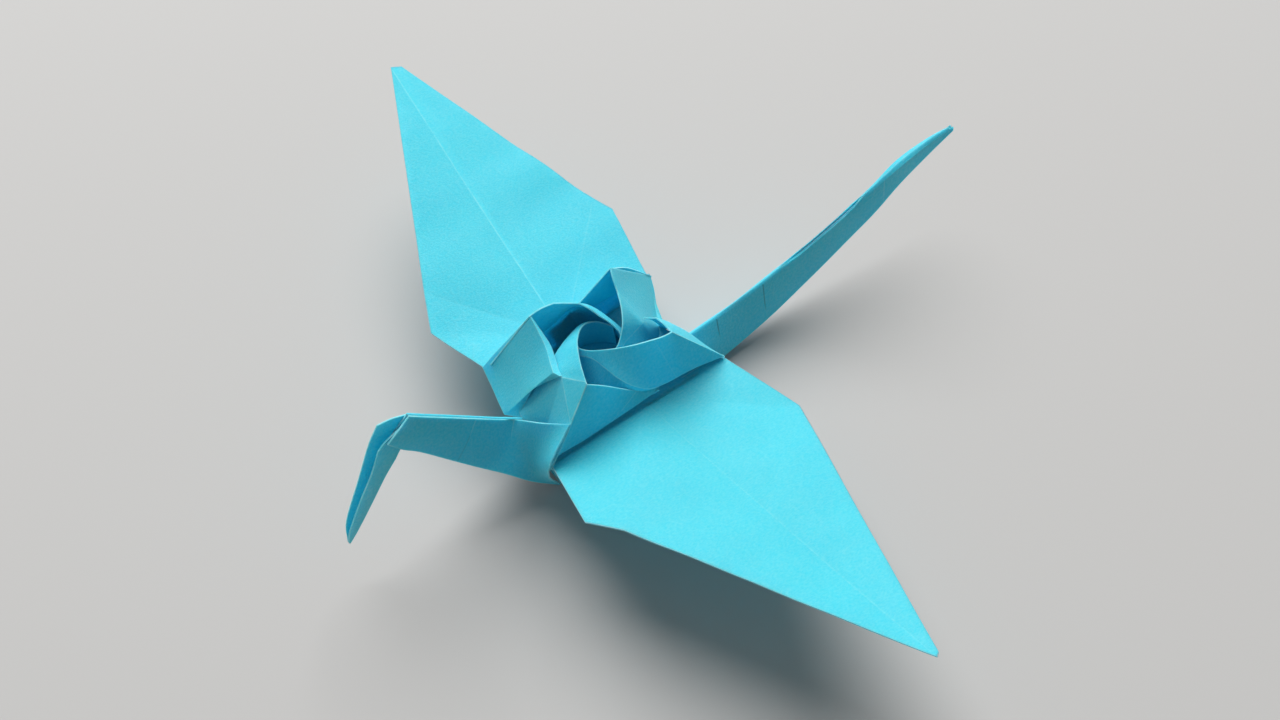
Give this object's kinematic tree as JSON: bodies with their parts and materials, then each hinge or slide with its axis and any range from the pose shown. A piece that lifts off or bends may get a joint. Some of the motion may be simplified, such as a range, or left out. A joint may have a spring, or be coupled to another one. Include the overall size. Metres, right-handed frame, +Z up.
{
  "type": "origami crane",
  "caption": "Folded paper crane with kite-shaped wings, a bent neck, a long pointed tail and a spiral rose of petals twisted up from the same sheet on its back.",
  "frame": {"origin": "middle of the flat belly that the crane stands on, under the axis of the rose", "axes": "+Z up, +X towards the tail with the neck towards -X, +Y along the far wing"},
  "size_m": [0.1819, 0.2086, 0.0491],
  "materials": {
    "turquoise_paper": "uncoated coloured paper, slight sheen"
  },
  "bodies": {
    "root": {"folded_crane": "turquoise_paper"}
  },
  "joints": []
}
